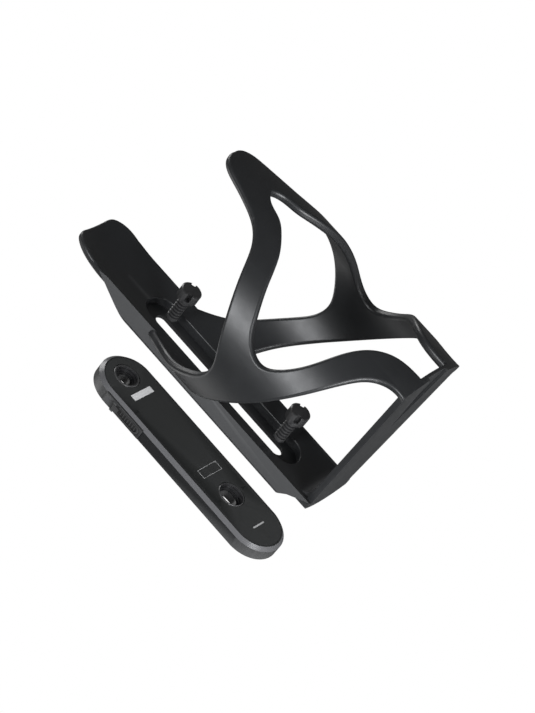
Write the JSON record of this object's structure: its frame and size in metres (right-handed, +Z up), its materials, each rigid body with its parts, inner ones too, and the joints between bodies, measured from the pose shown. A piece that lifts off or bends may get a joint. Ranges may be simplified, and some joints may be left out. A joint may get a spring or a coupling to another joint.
{
  "type": "bottle cage with tracker pod",
  "caption": "Side-wrapping bottle cage for a bicycle frame, shown pulled apart from its notched bolts and the slim tracker pod that bolts behind it.",
  "frame": {"origin": "midway between the two bolt centres, on the flat face of the cage that faces the bicycle frame", "axes": "+Z up the bottle axis, -Y towards the bottle, +Y towards the bicycle frame, +X to the side away from the charging port"},
  "size_m": [0.0822, 0.1208, 0.1432],
  "materials": {
    "cage_plastic": "matte moulded",
    "bolt_steel": "black coated steel",
    "pod_plastic": "satin moulded",
    "cover_plastic": "fine matte",
    "bush_plastic": "smooth",
    "seal_rubber": "soft",
    "port_rubber": "soft matte",
    "label_white": "printed white",
    "board_green": "solder resist",
    "flex_amber": "polyimide",
    "battery_foil": "foil pouch",
    "shield_metal": "tinned",
    "chip_black": "epoxy",
    "light_clear": "clear",
    "sounder_brass": "plain"
  },
  "bodies": {
    "cage": {"cage_frame": "cage_plastic"},
    "bolt_a": {"bolt_upper": "bolt_steel"},
    "bolt_b": {"bolt_lower": "bolt_steel"},
    "pod": {"pod_tub": "pod_plastic", "pod_cover": "cover_plastic", "cover_gasket": "seal_rubber", "bush_upper": "bush_plastic", "bush_lower": "bush_plastic", "bush_seal_upper": "seal_rubber", "bush_seal_lower": "seal_rubber", "label_plate": "label_white", "main_board": "board_green", "lower_board": "board_green", "flex_strip": "flex_amber", "battery_cell": "battery_foil", "battery_pad": "seal_rubber", "shield_can": "shield_metal", "motion_sensor": "chip_black", "usb_socket": "shield_metal", "light_pipe": "light_clear", "status_led": "label_white", "antenna_chip": "label_white", "sounder_disc": "sounder_brass", "sounder_ring": "seal_rubber", "hinge_pin": "bolt_steel"},
    "port_flap": {"port_cover": "port_rubber"}
  },
  "joints": [
    {"name": "bolt_upper_slide", "type": "slide", "parent": "cage", "child": "bolt_a", "axis": [0, 1, 0], "range_m": [0, 0.0169]},
    {"name": "bolt_lower_slide", "type": "slide", "parent": "cage", "child": "bolt_b", "axis": [0, 1, 0], "range_m": [0, 0.0169]},
    {"name": "pod_slide", "type": "slide", "parent": "cage", "child": "pod", "axis": [0, -1, 0], "range_m": [0, 0.0309]},
    {"name": "port_hinge", "type": "hinge", "parent": "pod", "child": "port_flap", "pos_m": [-0.01422, 0.0346, 0.02415], "axis": [0, 1, 0], "range_deg": [0, 100]}
  ]
}
